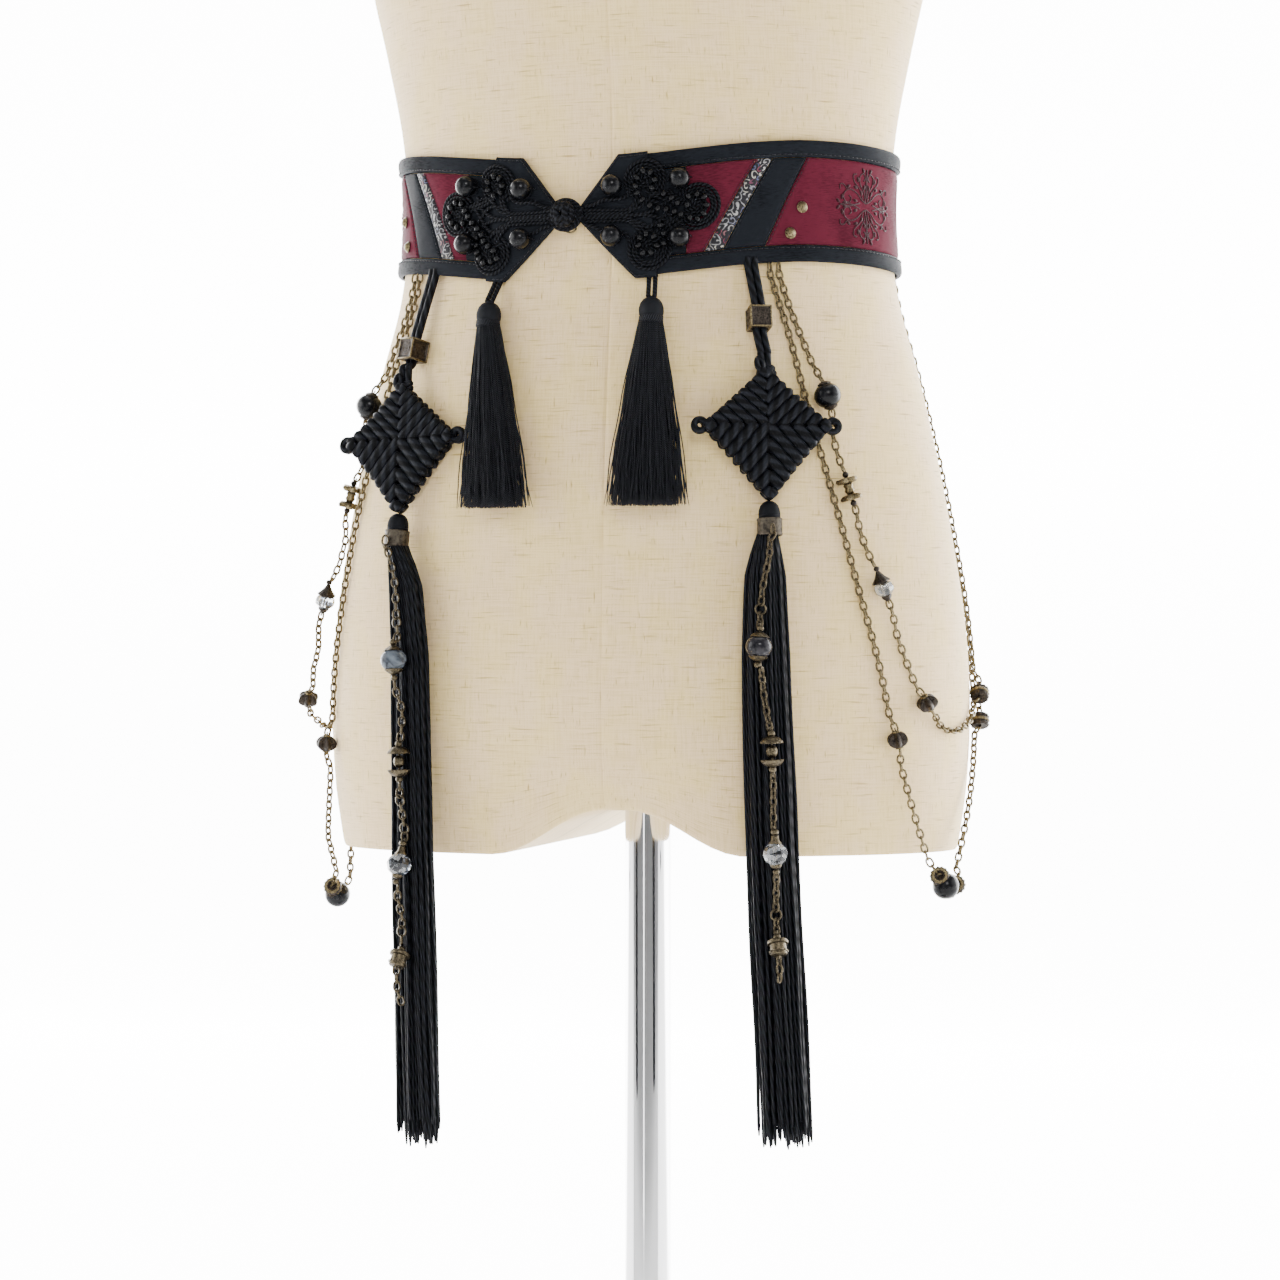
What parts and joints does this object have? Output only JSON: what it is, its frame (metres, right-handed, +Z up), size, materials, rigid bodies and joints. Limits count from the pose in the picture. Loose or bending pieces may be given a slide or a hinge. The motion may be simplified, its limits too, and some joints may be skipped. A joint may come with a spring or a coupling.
{
  "type": "obi belt on a dress form",
  "caption": "Waist belt with pointed front, corded frog closure, knotted cord drops, tassels and beaded chains, worn by a limbless dress form on a stand.",
  "frame": {"origin": "middle of the base's underside, on the floor", "axes": "+Z up, the form faces -Y, +X towards its right in the picture"},
  "size_m": [0.38, 0.38, 1.472],
  "materials": {
    "form_linen": "slubbed linen",
    "chrome": "polished",
    "black_satin": "satin",
    "red_satin": "satin",
    "brocade": "woven pattern",
    "black_cord": "satin cord",
    "black_bead": "polished",
    "antique_brass": "antique"
  },
  "bodies": {
    "root": {"back_panel": "red_satin", "band_left": "antique_brass", "band_right": "antique_brass", "bead_left_inner_high": "black_bead", "bead_left_inner_low": "black_bead", "bead_left_outer_high": "black_bead", "bead_left_outer_low": "black_bead", "bead_right_inner_high": "black_bead", "bead_right_inner_low": "black_bead", "bead_right_outer_high": "black_bead", "bead_right_outer_low": "black_bead", "binding_lower": "black_satin", "binding_upper": "black_satin", "brocade_left": "brocade", "brocade_right": "brocade", "closure_knot": "black_cord", "closure_loop": "black_cord", "cord_left": "black_cord", "cord_right": "black_cord", "cube_bead_left": "antique_brass", "cube_bead_right": "antique_brass", "form_base": "chrome", "form_pole": "chrome", "form_torso": "form_linen", "frog_cord_left": "black_cord", "frog_cord_right": "black_cord", "front_panel_left": "red_satin", "front_panel_right": "red_satin", "knot_left": "black_cord", "knot_right": "black_cord", "long_tassel_left": "black_cord", "long_tassel_right": "black_cord", "lower_chain_left": "antique_brass", "lower_chain_right": "antique_brass", "pendant_chain_left": "antique_brass", "pendant_chain_right": "antique_brass", "point_left": "black_satin", "point_right": "black_satin", "short_loop_left": "black_cord", "short_loop_right": "black_cord", "short_tassel_left": "black_cord", "short_tassel_right": "black_cord", "side_panel_left": "red_satin", "side_panel_right": "red_satin", "stripe_left": "black_satin", "stripe_right": "black_satin", "stud_left_high": "antique_brass", "stud_left_low": "antique_brass", "stud_right_high": "antique_brass", "stud_right_low": "antique_brass", "upper_chain_left": "antique_brass", "upper_chain_right": "antique_brass"}
  },
  "joints": []
}
